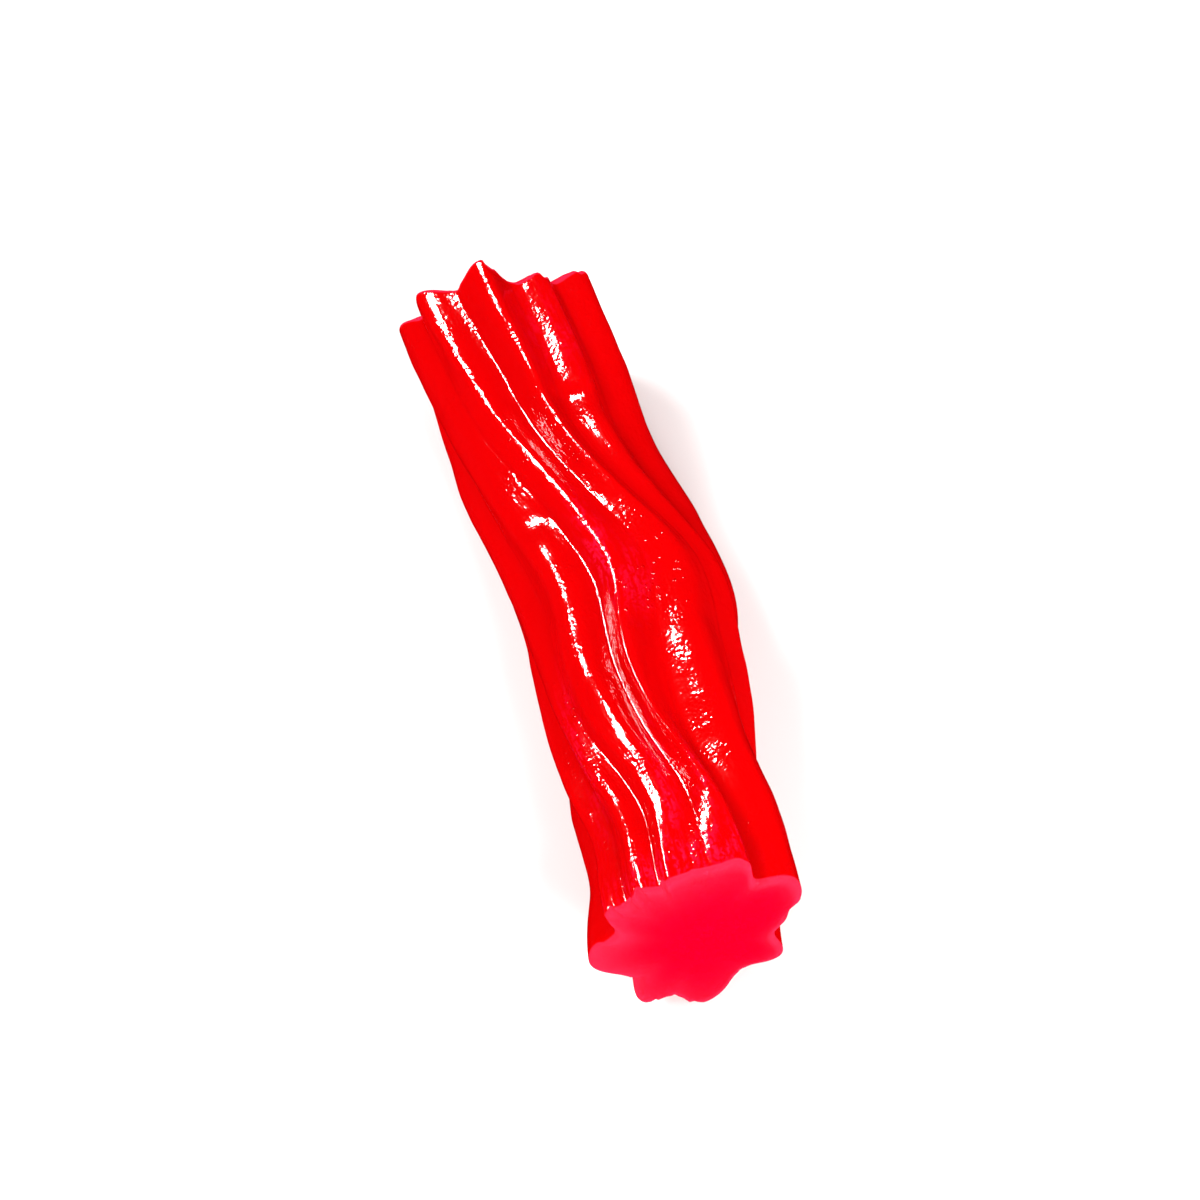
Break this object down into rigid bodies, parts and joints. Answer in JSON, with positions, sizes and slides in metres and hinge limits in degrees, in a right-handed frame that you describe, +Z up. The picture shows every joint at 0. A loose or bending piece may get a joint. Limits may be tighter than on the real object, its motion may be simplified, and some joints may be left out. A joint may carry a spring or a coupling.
{
  "type": "red licorice piece",
  "caption": "Short stick of soft red licorice, fluted and twisted, cut at both ends and lying on its settled underside.",
  "frame": {"origin": "middle of the bottom of the bounding box, on the surface that the piece lies on", "axes": "+Y along the stick from the near cut to the far cut, +Z up, +X across"},
  "size_m": [0.0224, 0.0652, 0.018],
  "materials": {
    "red_licorice": "glossy, slightly sticky"
  },
  "bodies": {
    "root": {"licorice_stick": "red_licorice"}
  },
  "joints": []
}
